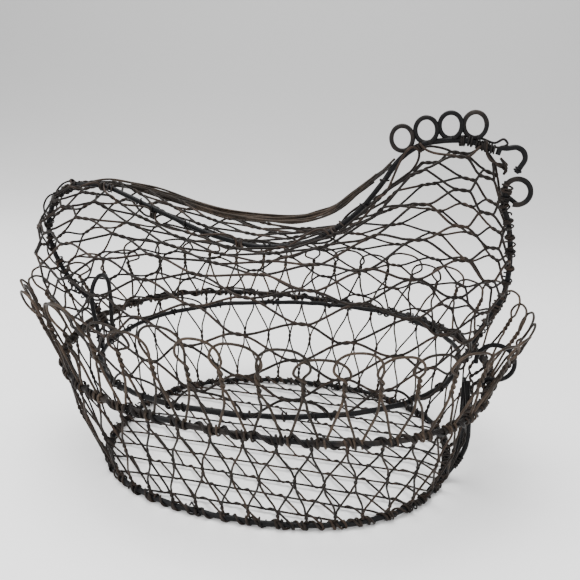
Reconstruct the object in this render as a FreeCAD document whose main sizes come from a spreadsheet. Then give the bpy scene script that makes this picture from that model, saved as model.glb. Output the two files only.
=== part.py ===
import FreeCAD, Part
import functools
import math
import os

# A wire basket in the shape of a sitting hen: an oval nest of hexagonal
# netting with a flared frill, and a hen-shaped lid of the same netting.
# Millimetres, +X towards the hen's head, +Z up, origin on the table under
# the middle of the nest.

Vector = FreeCAD.Vector

doc = FreeCAD.newDocument("hen_basket")
sheet = doc.addObject("Spreadsheet::Sheet", "sizes")

# alias, value, meaning (mm, degrees or plain counts)
SIZES = [
    ("frame_dia", 2.7, "wire of the rings, back, tail and breast"),
    ("net_dia", 1.05, "wire of the hexagonal netting"),
    ("bind_dia", 0.95, "wire of the bindings"),
    ("twist_gap", 0.16, "air between two strands in a twist"),
    ("floor_half_length", 94.0, "floor ring, middle of the wire, along X"),
    ("floor_half_width", 79.0, "floor ring, middle of the wire, along Y"),
    ("floor_roundness", 2.3, "superellipse exponent of the floor ring"),
    ("floor_height", 2.45, "middle of the floor ring above the table"),
    ("rim_half_length", 113.0, "rim ring along X"),
    ("rim_half_width", 92.5, "rim ring along Y"),
    ("rim_roundness", 2.36, "superellipse exponent of the rim ring"),
    ("rim_height", 56.5, "middle of the rim ring above the table"),
    ("rim_drop", 0.042, "slope of the rim ring, down towards the head"),
    ("cell_count", 42, "netting cells around the nest"),
    ("wall_row_low", 0.10, "lowest row of twists, as a share of the wall"),
    ("wall_row_middle", 0.53, "middle row of twists"),
    ("wall_row_high", 0.90, "row of twists under the rim"),
    ("wall_twist", 5.2, "length of a twist in the nest wall"),
    ("tail_bulge", 4.5, "how far the wall swells outwards at the tail"),
    ("frill_reach_head", 18.0, "how far the frill flares out at the head"),
    ("frill_reach_tail", 23.0, "how far the frill flares out at the tail"),
    ("frill_reach_left", 12.0, "how far the frill flares out on the left"),
    ("frill_reach_right", 12.5, "how far the frill flares out on the right"),
    ("frill_rise_head", 36.0, "height of the frill above the rim at the head"),
    ("frill_rise_tail", 31.0, "height of the frill at the tail"),
    ("frill_rise_left", 33.0, "height of the frill on the left"),
    ("frill_rise_right", 47.0, "height of the frill on the right"),
    ("frill_span", 1.5, "width of a frill hoop in cells"),
    ("frill_layer", 0.75, "offset of the two layers of hoops"),
    ("floor_line_pitch", 13.4, "spacing of the straight floor wires"),
    ("floor_stair_step", 17.3, "how far a stepping floor wire moves per line"),
    ("floor_stair_pitch", 18.0, "spacing of the stepping floor wires along X"),
    ("hen_half_length", 97.0, "lid ring along X"),
    ("hen_half_width", 79.0, "lid ring along Y"),
    ("hen_roundness", 2.1, "superellipse exponent of the lid ring"),
    ("hen_height", 58.0, "middle of the lid ring above the table"),
    ("hen_rise", 0.03, "slope of the lid ring, up towards the head"),
    ("hen_strands", 15, "netting strands on each side of the hen"),
    ("hen_half_cells", 14, "half cells from tail to breast"),
    ("hen_twist", 5.0, "length of a twist in the hen netting"),
    ("ring_lashings", 42, "binding turns on each ring of the nest"),
    ("hen_crown", 2.5, "how far the shoulders stand above the back wire"),
    ("bundle_wires", 5, "wires drawn together along the left shoulder"),
    ("comb_loop_radius", 5.2, "middle radius of a comb loop"),
    ("comb_first_x", 62.8, "first comb loop along X"),
    ("comb_pitch", 11.2, "spacing of the comb loops along X"),
    ("wattle_radius", 6.0, "middle radius of the wattle ring"),
    ("wattle_x", 117.9, "wattle ring along X"),
    ("wattle_z", 151.5, "wattle ring above the table"),
    ("front_loop_radius", 9.5, "middle radius of the front ring"),
    ("front_loop_gap", 0.45, "air between the front ring and the rim"),
    ("finger_loop_radius", 9.8, "bend of the finger loop under the tail"),
]
for row, (alias, value, meaning) in enumerate(SIZES, start=1):
    sheet.set("A%d" % row, alias)
    sheet.set("B%d" % row, str(value))
    sheet.set("C%d" % row, meaning)
    sheet.setAlias("B%d" % row, alias)
doc.recompute()


def size(alias):
    """One number from the sheet."""
    return float(getattr(sheet, alias))


FRAME_R = size("frame_dia") / 2
NET_R = size("net_dia") / 2
BIND_R = size("bind_dia") / 2
CELLS = int(size("cell_count"))
TWIST_HALF = NET_R + size("twist_gap") / 2

parts = []


def add_solids(label, solids):
    """A named piece made of one solid or a group of like solids."""
    feature = doc.addObject("Part::Feature", label)
    feature.Shape = solids[0] if len(solids) == 1 else Part.makeCompound(solids)
    feature.Label = label
    feature.Placement = FreeCAD.Placement()
    parts.append(feature)
    return feature


def wire(points, radius):
    """A round wire bent along straight runs with mitred corners."""
    path = Part.makePolygon([Vector(*p) for p in points])
    start = Vector(*points[0])
    heading = Vector(*points[1]) - start
    profile = Part.Wire([Part.makeCircle(radius, start, heading)])
    return path.makePipeShell([profile], True, False, 1)


def closed_wire(points, radius):
    """A round wire closed on itself, joined in the middle of a run."""
    first = Vector(*points[0])
    second = Vector(*points[1])
    middle = (first + second) * 0.5
    loop = [middle] + [Vector(*p) for p in points[1:]] + [first, middle]
    path = Part.makePolygon(loop)
    profile = Part.Wire([Part.makeCircle(radius, middle, second - first)])
    return path.makePipeShell([profile], True, False, 1)


def lerp(a, b, part):
    """A point part of the way from a to b."""
    return tuple(p + (q - p) * part for p, q in zip(a, b))


def superellipse(half_x, half_y, power, angle):
    """A point on a rounded oval, by angle in radians."""
    c = math.cos(angle)
    s = math.sin(angle)
    x = half_x * math.copysign(abs(c) ** (2 / power), c)
    y = half_y * math.copysign(abs(s) ** (2 / power), s)
    return x, y


class Oval:
    """A closed oval that can be walked by its length, 0 to 1."""

    STEPS = 1440

    def __init__(self, half_x, half_y, power):
        self.points = [superellipse(half_x, half_y, power, 2 * math.pi * i / self.STEPS)
                       for i in range(self.STEPS + 1)]
        self.lengths = [0.0]
        for a, b in zip(self.points, self.points[1:]):
            self.lengths.append(self.lengths[-1] + math.dist(a, b))
        self.total = self.lengths[-1]

    def at(self, share):
        """The point a given share of the way round from +X."""
        goal = (share % 1.0) * self.total
        low = 0
        high = self.STEPS
        while high - low > 1:
            mid = (low + high) // 2
            if self.lengths[mid] <= goal:
                low = mid
            else:
                high = mid
        span = self.lengths[high] - self.lengths[low]
        part = (goal - self.lengths[low]) / span
        a = self.points[low]
        b = self.points[high]
        return a[0] + (b[0] - a[0]) * part, a[1] + (b[1] - a[1]) * part

    def outward(self, share):
        """The unit direction straight out of the oval."""
        a = self.at(share - 0.001)
        b = self.at(share + 0.001)
        dx = b[0] - a[0]
        dy = b[1] - a[1]
        length = math.hypot(dx, dy)
        return dy / length, -dx / length


floor_oval = Oval(size("floor_half_length"), size("floor_half_width"), size("floor_roundness"))
rim_oval = Oval(size("rim_half_length"), size("rim_half_width"), size("rim_roundness"))
hen_oval = Oval(size("hen_half_length"), size("hen_half_width"), size("hen_roundness"))


def rim_z(x):
    return size("rim_height") - size("rim_drop") * x


def hen_z(x):
    return size("hen_height") + size("hen_rise") * x


def ring_points(oval, height, runs):
    """Corners of a ring that follows an oval at a height given by x."""
    corners = []
    for i in range(runs):
        x, y = oval.at(i / runs)
        corners.append((x, y, height(x)))
    return corners


def floor_z(x):
    return size("floor_height")


# ---------------------------------------------------------------- nest rings
RING_RUNS = 64
add_solids("floor_ring", [closed_wire(ring_points(floor_oval, floor_z, RING_RUNS), FRAME_R)])
add_solids("rim_ring", [closed_wire(ring_points(rim_oval, rim_z, RING_RUNS), FRAME_R)])


def binding_turn(center, along, inner_radius, radius, lean):
    """One turn of thin wire around a thicker one, leaning a little."""
    axis = Vector(*along)
    axis.normalize()
    side = axis.cross(Vector(0, 0, 1))
    if side.Length < 0.1:
        side = axis.cross(Vector(0, 1, 0))
    side.normalize()
    tilted = axis * math.cos(lean) + side * math.sin(lean)
    ring_radius = (inner_radius + radius) / math.cos(lean) + 0.03
    return Part.makeTorus(ring_radius, radius, Vector(*center), tilted)


def ring_turns(oval, height, count, shift):
    """Binding turns at even stations along a ring."""
    turns = []
    for i in range(count):
        share = (i + shift) / count
        x, y = oval.at(share)
        ahead = oval.at(share + 0.004)
        behind = oval.at(share - 0.004)
        along = (ahead[0] - behind[0], ahead[1] - behind[1], height(ahead[0]) - height(behind[0]))
        turns.append(binding_turn((x, y, height(x)), along, FRAME_R, BIND_R, 0.35))
    return turns


LASHINGS = int(size("ring_lashings"))
add_solids("floor_ring_lashing", ring_turns(floor_oval, floor_z, LASHINGS, 0.75))
add_solids("rim_lashing", ring_turns(rim_oval, rim_z, LASHINGS, 0.75))


# ------------------------------------------------------------- nest netting
# How far the wall stands out of a straight line at the head, by height share.
HEAD_WALL = [(0.0, 0.0), (0.1, 2.4), (0.25, 3.4), (0.53, 0.7), (0.75, -3.2), (0.9, -6.5), (1.0, 0.0)]


def wall_bulge(share, height_share):
    """The wall swells at the tail and is pulled in under the rim at the head."""
    nx, ny = rim_oval.outward(share)
    if nx < 0:
        return size("tail_bulge") * nx ** 2 * math.sin(math.pi * height_share)
    for (h1, out1), (h2, out2) in zip(HEAD_WALL, HEAD_WALL[1:]):
        if height_share <= h2:
            return nx ** 6 * (out1 + (out2 - out1) * (height_share - h1) / (h2 - h1))
    return 0.0


def wall_point(share, height_share):
    """A point on the nest wall, between the floor ring and the rim."""
    fx, fy = floor_oval.at(share)
    rx, ry = rim_oval.at(share)
    nx, ny = rim_oval.outward(share)
    low = floor_z(fx)
    out = wall_bulge(share, height_share)
    x = fx + (rx - fx) * height_share + nx * out
    y = fy + (ry - fy) * height_share + ny * out
    z = low + (rim_z(rx) - low) * height_share
    return x, y, z


WALL_ROWS = [size("wall_row_" + row) for row in ("low", "middle", "high")]


def wall_strand(index):
    """One netting wire from floor ring to rim, paired left and right in turn."""
    mean_length = (floor_oval.total + rim_oval.total) / 2
    half_cell = 0.5 / CELLS
    gap = TWIST_HALF / mean_length
    wall_length = math.dist(wall_point(0, 0), wall_point(0, 1))
    twist_share = size("wall_twist") / wall_length / 2
    end_share = (FRAME_R - 0.25) / wall_length
    home = index * half_cell
    points = []
    points.append(wall_point(home + side_of(index, 0) * half_cell * 0.42, end_share))
    for row, middle in enumerate(WALL_ROWS):
        side = side_of(index, row)
        share = home + side * (half_cell / 2 - gap)
        points.append(wall_point(share, middle - twist_share))
        points.append(wall_point(share, middle + twist_share))
    last = side_of(index, len(WALL_ROWS) - 1)
    points.append(wall_point(home + last * half_cell * 0.42, 1 - end_share))
    return wire(points, NET_R)


def side_of(index, row):
    """+1 or -1: the neighbour a strand is twisted with in this row."""
    return 1 if (index + row) % 2 == 0 else -1


add_solids("wall_netting", [wall_strand(i) for i in range(2 * CELLS)])


def floor_half_length_at(y, inset):
    """Half the inside length of the floor ring at a given y."""
    a = size("floor_half_length") - inset
    b = size("floor_half_width") - inset
    n = size("floor_roundness")
    return a * max(1 - (abs(y) / b) ** n, 0.0) ** (1 / n)


RING_INSET = FRAME_R - 0.25
LINE_PITCH = size("floor_line_pitch")
LINES = int((size("floor_half_width") - 6) // LINE_PITCH)


def floor_line(number):
    """One straight lengthwise wire of the floor."""
    y = number * LINE_PITCH
    reach = floor_half_length_at(y, RING_INSET)
    z = size("floor_height") - NET_R - size("twist_gap") / 2
    return wire([(-reach, y, z), (reach, y, z)], NET_R)


add_solids("floor_line_wires", [floor_line(n) for n in range(-LINES, LINES + 1)])


def floor_stair(number):
    """One stepping wire of the floor: along a line, then across to the next."""
    step = size("floor_stair_step")
    pitch = size("floor_stair_pitch")
    run = size("wall_twist")
    z = size("floor_height") + NET_R + size("twist_gap") / 2
    points = []
    for line in range(-LINES, LINES + 1):
        y = line * LINE_PITCH
        x = number * pitch - line * step
        if abs(x) + run / 2 > floor_half_length_at(y, RING_INSET + 4):
            continue
        points.append((x + run / 2, y, z))
        points.append((x - run / 2, y, z))
    if len(points) < 4:
        return None
    return wire(points, NET_R)


stairs = [floor_stair(n) for n in range(-9, 10)]
add_solids("floor_stair_wires", [s for s in stairs if s is not None])


# -------------------------------------------------------------------- frill
def frill_size(nx, ny):
    """Reach and rise of the frill where the rim faces a given way."""
    end = abs(nx) ** 6
    end_name = "head" if nx > 0 else "tail"
    side_name = "left" if ny > 0 else "right"
    reach = size("frill_reach_" + end_name) * end + size("frill_reach_" + side_name) * (1 - end)
    rise = size("frill_rise_" + end_name) * end + size("frill_rise_" + side_name) * (1 - end)
    return reach, rise


def frill_point(share, rise, out=0.0):
    """A point on the flared frill: rise 0 at the rim, 1 at the tips."""
    rx, ry = rim_oval.at(share)
    nx, ny = rim_oval.outward(share)
    full_reach, full_rise = frill_size(nx, ny)
    reach = full_reach * (1.2 * rise - 0.2 * rise * rise)
    lift = full_rise * (1.12 * rise - 0.12 * rise * rise)
    clear = FRAME_R + NET_R + 0.1
    return rx + nx * (reach + out), ry + ny * (reach + out), rim_z(rx) + lift + clear * (1 - rise)


# The two hoops beside the front ring stand a little aside to let it swing.
FRONT_SHIFT = {0: 0.35, CELLS - 1: -0.35}


def frill_hoop(index, out):
    """One rounded hoop: two legs from the rim and a bowed top."""
    cell = 1.0 / CELLS
    aside = FRONT_SHIFT.get(index, 0.0)
    middle = (index + 0.5 + aside) * cell
    half = (size("frill_span") - abs(aside)) * cell / 2
    foot = 0.5 * cell - 0.03 * cell
    outline = [(-foot, 0.0), (-foot, 0.2), (-half, 0.55), (-half, 0.76), (-0.72 * half, 0.93),
               (-0.3 * half, 1.0), (0.3 * half, 1.0), (0.72 * half, 0.93), (half, 0.76),
               (half, 0.55), (foot, 0.2), (foot, 0.0)]
    return wire([frill_point(middle + across, rise, out) for across, rise in outline], NET_R)


LAYER = size("frill_layer")
add_solids("frill_outer_hoops", [frill_hoop(i, LAYER) for i in range(0, CELLS, 2)])
add_solids("frill_inner_hoops", [frill_hoop(i, -LAYER) for i in range(1, CELLS, 2)])

# ------------------------------------------------------------------ the lid
add_solids("lid_ring", [closed_wire(ring_points(hen_oval, hen_z, RING_RUNS), FRAME_R)])

# Outline of the hen in its middle plane, as (x, z) pairs.
TAIL_LINE = [(-98.5, 58), (-104.5, 64), (-111, 74), (-122, 85), (-129, 95), (-134, 107),
             (-135, 117), (-132, 127), (-127, 136), (-118, 141), (-106, 143)]
BACK_LINE = [(-106, 143), (-96, 142), (-86, 138.5), (-72, 133), (-57, 127), (-42, 121.5),
             (-27, 117.5), (-11, 115.3), (5, 116.8), (20, 121), (33, 129), (44, 139),
             (54, 152), (63, 165), (71, 171), (82, 173.8), (94, 174), (106, 170.5)]
BREAST_LINE = [(113, 152), (112, 146), (115, 137), (117, 125), (117.5, 113), (116, 101),
               (112, 91), (106.5, 81), (103, 71), (98.8, 62.5)]


def flat_wire(outline, radius):
    """A wire bent in the middle plane of the hen."""
    return wire([(x, 0, z) for x, z in outline], radius)


add_solids("tail_wire", [flat_wire(TAIL_LINE[:-1] + [(-107, 142.7)], FRAME_R)])
add_solids("back_wire", [flat_wire([(-105.8, 143)] + BACK_LINE[1:], FRAME_R)])
add_solids("breast_wire", [flat_wire(BREAST_LINE, FRAME_R)])


def along_line(line, value, key):
    """Read a line of pairs by one coordinate, giving the other."""
    other = 1 - key
    pairs = sorted(line, key=lambda p: p[key])
    if value <= pairs[0][key]:
        return pairs[0][other]
    for a, b in zip(pairs, pairs[1:]):
        if value <= b[key]:
            part = (value - a[key]) / (b[key] - a[key])
            return a[other] + (b[other] - a[other]) * part
    return pairs[-1][other]


FRONT_LINE = BREAST_LINE + [(110, 163), (108, 171)]
REAR_LINE = TAIL_LINE[:-1]
SECTION_STEPS = 120


def saddle(along):
    """1 in the low middle of the hen, 0 at the tail and the slim head."""
    return math.exp(-((along - 0.42) / 0.2) ** 2)


@functools.lru_cache(maxsize=None)
def hen_section(along):
    """Half a cross section of the hen from ring to back, with lengths walked."""
    ring_x, ring_y = hen_oval.at((1 - along) / 2)
    share = (ring_x / size("hen_half_length") + 1) / 2
    top_z = along_line(BACK_LINE, -116 + share * (106 + 116), 0)
    ends = 3.0 if along < 0.42 else 1.25
    boxy = ends + (3.9 - ends) * saddle(along)
    low_z = hen_z(ring_x)
    points = []
    for i in range(SECTION_STEPS + 1):
        angle = math.pi / 2 * i / SECTION_STEPS
        up_part = math.sin(angle) ** (2 / boxy)
        crown = size("hen_crown") * saddle(along) * math.sin(math.pi * up_part ** 6)
        z = low_z + (top_z - low_z) * up_part + crown
        rear_x = along_line(REAR_LINE, z, 1)
        front_x = along_line(FRONT_LINE, z, 1)
        x = rear_x + (front_x - rear_x) * share
        points.append((x, ring_y * max(math.cos(angle), 0.0) ** (2 / boxy), z))
    lengths = [0.0]
    for a, b in zip(points, points[1:]):
        lengths.append(lengths[-1] + math.dist(a, b))
    return points, lengths


def hen_surface(along, up, side):
    """A point on the netting of the hen, with the strands closer near the back."""
    points, lengths = hen_section(round(along, 6))
    spread = 1 + 0.35 * saddle(along)
    goal = lengths[-1] * (1 - (1 - up) ** spread)
    i = 0
    while i < SECTION_STEPS - 1 and lengths[i + 1] < goal:
        i += 1
    part = (goal - lengths[i]) / (lengths[i + 1] - lengths[i])
    x, y, z = lerp(points[i], points[i + 1], part)
    return x, side * y, z


def hen_strand(number, side):
    """Corners of one lengthwise netting wire of the hen."""
    strands = int(size("hen_strands"))
    halves = int(size("hen_half_cells"))
    pitch = 1.0 / (strands + 0.5)
    up_home = (number + 0.75) * pitch
    length = 225.0
    twist = size("hen_twist") / length / 2
    ends = 0.007
    points = [hen_surface(ends, min(up_home, 0.985), side)]
    for half in range(halves):
        middle = (half + 0.5) / halves
        ahead = hen_surface(middle, up_home + 0.01, side)
        behind = hen_surface(middle, up_home - 0.01, side)
        gap = TWIST_HALF * 0.02 / math.dist(ahead, behind)
        shift = side_of(number, half) * (pitch / 2 - gap)
        up = min(max(up_home + shift, 0.02), 0.985)
        points.append(hen_surface(middle - twist, up, side))
        points.append(hen_surface(middle + twist, up, side))
    points.append(hen_surface(1 - ends, min(up_home, 0.985), side))
    return points


def split_strand(points, lengths):
    """Cut a strand inside its twists, leaving a hair of air at each cut."""
    cuts = [0]
    twists = (len(points) - 2) // 2
    for i in range(1, lengths):
        cuts.append(1 + 2 * round(i * twists / lengths))
    cuts.append(None)
    pieces = []
    for a, b in zip(cuts, cuts[1:]):
        piece = []
        if a == 0:
            piece.append(points[0])
            first = 1
        else:
            piece.append(lerp(points[a], points[a + 1], 0.55))
            first = a + 1
        last = len(points) if b is None else b + 1
        piece.extend(points[first:last])
        if b is not None:
            piece.append(lerp(points[b], points[b + 1], 0.45))
        pieces.append(wire(piece, NET_R))
    return pieces


for name, side in (("netting_left_side", 1), ("netting_right_side", -1)):
    solids = []
    for number in range(int(size("hen_strands"))):
        solids.extend(split_strand(hen_strand(number, side), 4))
    add_solids(name, solids)


# Middle of the bundle of wires along the left shoulder, tail to neck.
BUNDLE_LINE = [(-122, 18, 138.5), (-112, 27, 138.5), (-100, 34, 136.3), (-86, 40, 132),
               (-70, 44, 126.8), (-48, 46, 121.8), (-20, 46, 119.6), (-3, 45, 120.4), (10, 43, 123.8),
               (20, 40, 128.5), (30, 35, 136), (38, 31, 142.8), (46, 27, 149.8), (52, 21, 155.2),
               (58, 12, 161.6)]


def bundle_wire(number):
    """One long wire of the bundle along the hen's left shoulder."""
    across = number - (size("bundle_wires") - 1) / 2
    return wire([(x, y + 1.5 * across, z - 0.35 * across) for x, y, z in BUNDLE_LINE], NET_R)


add_solids("shoulder_bundle", [bundle_wire(n) for n in range(int(size("bundle_wires")))])

# ------------------------------------------------------------ comb and head
comb_solids = []
for i in range(4):
    loop = doc.addObject("Part::Torus", "comb_loop_%d" % (i + 1))
    loop.setExpression("Radius1", "sizes.comb_loop_radius")
    loop.setExpression("Radius2", "sizes.frame_dia / 2 * 0.85")
    loop.setExpression("Placement.Base.x", "sizes.comb_first_x + %d * sizes.comb_pitch" % i)
    height = (174.1, 178.4, 180.9, 181.5)[i]
    x_here = size("comb_first_x") + i * size("comb_pitch")
    loop.Placement = FreeCAD.Placement(Vector(x_here, 0, height), FreeCAD.Rotation(Vector(1, 0, 0), 90))
    comb_solids.append(loop)
doc.recompute()
comb = doc.addObject("Part::Compound", "comb_loops")
comb.Links = comb_solids
comb.Label = "comb_loops"
parts.append(comb)

add_solids("beak_wire", [flat_wire([(107.5, 168.4), (108.6, 171.4), (112, 171.6), (116, 172),
                                    (119, 170), (120, 167), (118, 163.5), (116.3, 160.8)],
                                   FRAME_R * 0.85)])
wattle = doc.addObject("Part::Torus", "wattle_ring")
wattle.setExpression("Radius1", "sizes.wattle_radius")
wattle.setExpression("Radius2", "sizes.frame_dia / 2 * 0.9")
wattle.setExpression("Placement.Base.x", "sizes.wattle_x")
wattle.setExpression("Placement.Base.z", "sizes.wattle_z")
wattle.Placement = FreeCAD.Placement(Vector(size("wattle_x"), 0, size("wattle_z")),
                                     FreeCAD.Rotation(Vector(1, 0, 0), 90))
wattle.Label = "wattle_ring"
parts.append(wattle)


def line_turns(line, count, start, stop, core, lean):
    """Binding turns along a bent wire in the middle plane."""
    lengths = [0.0]
    for a, b in zip(line, line[1:]):
        lengths.append(lengths[-1] + math.dist(a, b))
    turns = []
    for i in range(count):
        goal = lengths[-1] * (start + (stop - start) * (i + 0.5) / count)
        for k in range(len(line) - 1):
            if lengths[k + 1] >= goal:
                break
        part = (goal - lengths[k]) / (lengths[k + 1] - lengths[k])
        x, z = lerp(line[k], line[k + 1], part)
        along = (line[k + 1][0] - line[k][0], 0, line[k + 1][1] - line[k][1])
        turns.append(binding_turn((x, 0, z), along, core, BIND_R, lean))
    return turns


add_solids("tail_lashing", line_turns(TAIL_LINE, 30, 0.08, 0.97, FRAME_R, 0.3))
add_solids("back_lashing", line_turns(BACK_LINE, 26, 0.03, 0.8, FRAME_R, 0.45))
add_solids("breast_lashing", line_turns(BREAST_LINE, 26, 0.1, 0.96, FRAME_R, 0.3))
add_solids("crown_binding", line_turns(BACK_LINE, 5, 0.955, 0.998, FRAME_R, 0.1))
add_solids("wattle_binding", line_turns([(113, 154), (112, 146)], 4, 0.1, 0.95, FRAME_R + 1.0, 0.1))
add_solids("lid_ring_lashing", ring_turns(hen_oval, hen_z, 44, 0.4))

# ---------------------------------------- finger loop under the tail, front ring
FINGER_R = size("finger_loop_radius")
FINGER_WIRE_R = FRAME_R * 0.9
finger_y = -14.2
finger_top = 86.0
RIGHT_LEG = [(-94.6, -21.5, 56.8), (-96.0, -22.8, 70.0)]
LEFT_LEG = [(-97.0, -4.6, 68.0), (-96.6, -5.2, 56.6)]
finger = list(RIGHT_LEG)
for i in range(9):
    turn = math.pi * i / 8
    finger.append((-97.0, finger_y - FINGER_R * math.cos(turn), finger_top + FINGER_R * math.sin(turn)))
finger += LEFT_LEG
add_solids("finger_loop", [wire(finger, FINGER_WIRE_R)])
finger_turns = []
for top, foot in ((RIGHT_LEG[1], RIGHT_LEG[0]), LEFT_LEG):
    heading = [q - p for p, q in zip(foot, top)]
    for i in range(2):
        finger_turns.append(binding_turn(lerp(foot, top, 0.35 + 0.2 * i), heading, FINGER_WIRE_R, BIND_R, 0.1))
add_solids("finger_loop_binding", finger_turns)

# The front ring: a round eye about the rim and an open hoop above it.
front_x = size("rim_half_length")
front_z = rim_z(front_x)
RING_R = size("front_loop_radius")
RING_WIRE_R = FRAME_R * 0.9
eye_radius = FRAME_R + size("front_loop_gap") + RING_WIRE_R
eye = Part.makeTorus(eye_radius, RING_WIRE_R, Vector(front_x, 0, front_z), Vector(0, 1, 0))
hoop_center = (front_x + 2.0, front_z + eye_radius + RING_R)
hoop = []
for i in range(13):
    turn = math.radians(-102 + 290 * i / 12)
    hoop.append((hoop_center[0] + RING_R * math.cos(turn), 0, hoop_center[1] + RING_R * math.sin(turn)))
add_solids("front_ring", [eye.fuse(wire(hoop, RING_WIRE_R))])

# From the floor ring up outside the wall, in through a cell, to the hen's foot.
UPRIGHT_LINE = [(95.9, -13.2, 4.3), (98.6, -11.4, 8.5), (103.2, -10.7, 17), (105.0, -10.7, 27),
                (104.6, -10.7, 36), (103.6, -9.5, 46), (102.2, -8.0, 56)]
add_solids("front_upright", [wire(UPRIGHT_LINE, FRAME_R)])
tie_turns = []
for i in range(4):
    place = lerp(UPRIGHT_LINE[1], UPRIGHT_LINE[2], 0.1 + 0.22 * i)
    heading = [q - p for p, q in zip(UPRIGHT_LINE[1], UPRIGHT_LINE[2])]
    tie_turns.append(binding_turn(place, heading, FRAME_R, BIND_R, 0.1))
add_solids("front_upright_tie", tie_turns)
rear_x = -size("rim_half_length")
rear_z = rim_z(rear_x)
add_solids("rear_frill_tie", [binding_turn((rear_x, -3 + 2.1 * i, rear_z), (0, 1, 0),
                                           FRAME_R + 2 * BIND_R + 0.1, BIND_R, 0.15) for i in range(4)])


def cut_end(share, lean, height):
    """A bent, cut end of binding wire standing beside the floor ring."""
    x, y = floor_oval.at(share)
    nx, ny = floor_oval.outward(share)
    outline = [(-3.2, 0.0, 4.6), (-3.4, 0.35, 5.8), (-3.1, 0.8, 7.0), (-2.6, 1.3, height),
               (-2.3, 1.9, height + 0.4), (-2.2, 2.7, height - 0.1)]
    return wire([(x + nx * out - ny * aside * lean, y + ny * out + nx * aside * lean, z)
                 for out, aside, z in outline], BIND_R)


add_solids("floor_binding_curls", [cut_end(0.47, 1.5, 8.0), cut_end(0.53, -1.2, 8.6),
                                   cut_end(0.71, 1.8, 7.8), cut_end(0.83, -1.0, 8.3)])

doc.recompute()
os.makedirs("parts", exist_ok=True)
for feature in parts:
    broken = [s for s in feature.State if s in ("Invalid", "Error")]
    if broken or feature.Shape.isNull() or not feature.Shape.isValid():
        raise RuntimeError("bad shape: " + feature.Label)
    for solid in feature.Shape.Solids:
        if solid.Volume <= 0:
            raise RuntimeError("inside-out solid in " + feature.Label)
    feature.Shape.exportStep(os.path.join("parts", feature.Label + ".step"))
    box = feature.Shape.BoundBox
    print("%-22s %3d solids  x %.1f..%.1f  y %.1f..%.1f  z %.1f..%.1f" % (
        feature.Label, len(feature.Shape.Solids), box.XMin, box.XMax,
        box.YMin, box.YMax, box.ZMin, box.ZMax))
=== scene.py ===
import bpy
import math
import random
import numpy as np
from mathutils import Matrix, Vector


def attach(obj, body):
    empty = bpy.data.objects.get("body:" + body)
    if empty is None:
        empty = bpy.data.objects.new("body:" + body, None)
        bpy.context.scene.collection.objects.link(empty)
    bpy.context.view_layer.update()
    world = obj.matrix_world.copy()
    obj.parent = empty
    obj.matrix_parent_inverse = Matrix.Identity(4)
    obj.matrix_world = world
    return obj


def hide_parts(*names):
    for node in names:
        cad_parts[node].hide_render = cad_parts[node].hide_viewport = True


# Wire egg basket in the shape of a sitting hen. Every wire is built here as a
# round tube along its own path, with twists, wraps and cut ends. Lengths are
# in millimetres until a piece becomes a mesh.

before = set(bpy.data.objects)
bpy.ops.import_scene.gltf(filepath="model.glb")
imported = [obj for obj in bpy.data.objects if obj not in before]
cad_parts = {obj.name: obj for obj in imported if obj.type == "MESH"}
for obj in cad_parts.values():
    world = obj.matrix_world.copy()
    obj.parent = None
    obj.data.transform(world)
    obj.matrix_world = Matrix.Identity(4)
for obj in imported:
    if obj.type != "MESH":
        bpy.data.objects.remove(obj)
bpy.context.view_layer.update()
MM = 0.001

# ------------------------------------------------------------------ dimensions
FRAME_R = 1.35
NET_R = 0.54
BIND_R = 0.45
FLOOR = (94.0, 79.0, 2.3)
RIM = (113.0, 92.5, 2.36)
HEN = (97.0, 79.0, 2.1)
FLOOR_Z = 2.45
RIM_Z, RIM_DROP = 56.5, 0.042
HEN_Z, HEN_RISE = 58.0, 0.03
CELLS = 42
WALL_ROWS = (0.10, 0.53, 0.925)
WALL_TWIST = 6.2
HEN_STRANDS = 15
HEN_HALVES = 14
HEN_TWIST = 7.6
HEN_NET_R = 0.62
# reach outwards and rise above the rim, by side of the nest
FRILL = {"head": (18.0, 36.0), "tail": (23.0, 31.0), "left": (12.0, 33.0), "right": (12.5, 47.0)}

TAIL_LINE = [(-98.5, 58), (-104.5, 64), (-111, 74), (-122, 85), (-129, 95), (-134, 107),
             (-135, 117), (-132, 127), (-127, 136), (-118, 141), (-106, 143)]
BACK_LINE = [(-106, 143), (-96, 142), (-86, 138.5), (-72, 133), (-57, 127), (-42, 121.5),
             (-27, 117.5), (-11, 115.3), (5, 116.8), (20, 121), (33, 129), (44, 139),
             (54, 152), (63, 165), (71, 171), (82, 173.8), (94, 174), (106, 170.5)]
BREAST_LINE = [(113, 152), (112, 146), (115, 137), (117, 125), (117.5, 113), (116, 101),
               (112, 91), (106.5, 81), (103, 71), (98.8, 62.5)]


# ------------------------------------------------------------------- geometry
def superellipse(a, b, n, angle):
    c, s = math.cos(angle), math.sin(angle)
    return (a * math.copysign(abs(c) ** (2 / n), c), b * math.copysign(abs(s) ** (2 / n), s))


class Oval:
    """A closed oval walked by its length, 0 to 1 from +X."""

    def __init__(self, a, b, n):
        pts = np.array([superellipse(a, b, n, 2 * math.pi * i / 2880) for i in range(2881)])
        steps = np.linalg.norm(np.diff(pts, axis=0), axis=1)
        self.pts = pts
        self.len = np.concatenate([[0.0], np.cumsum(steps)])
        self.total = float(self.len[-1])

    def at(self, share):
        goal = (share % 1.0) * self.total
        return (float(np.interp(goal, self.len, self.pts[:, 0])),
                float(np.interp(goal, self.len, self.pts[:, 1])))

    def outward(self, share):
        ax, ay = self.at(share - 0.004)
        bx, by = self.at(share + 0.004)
        length = math.hypot(bx - ax, by - ay)
        return ((by - ay) / length, -(bx - ax) / length)


floor_oval, rim_oval, hen_oval = Oval(*FLOOR), Oval(*RIM), Oval(*HEN)


def unit(v):
    v = np.asarray(v, float)
    return v / max(float(np.linalg.norm(v)), 1e-9)


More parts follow.
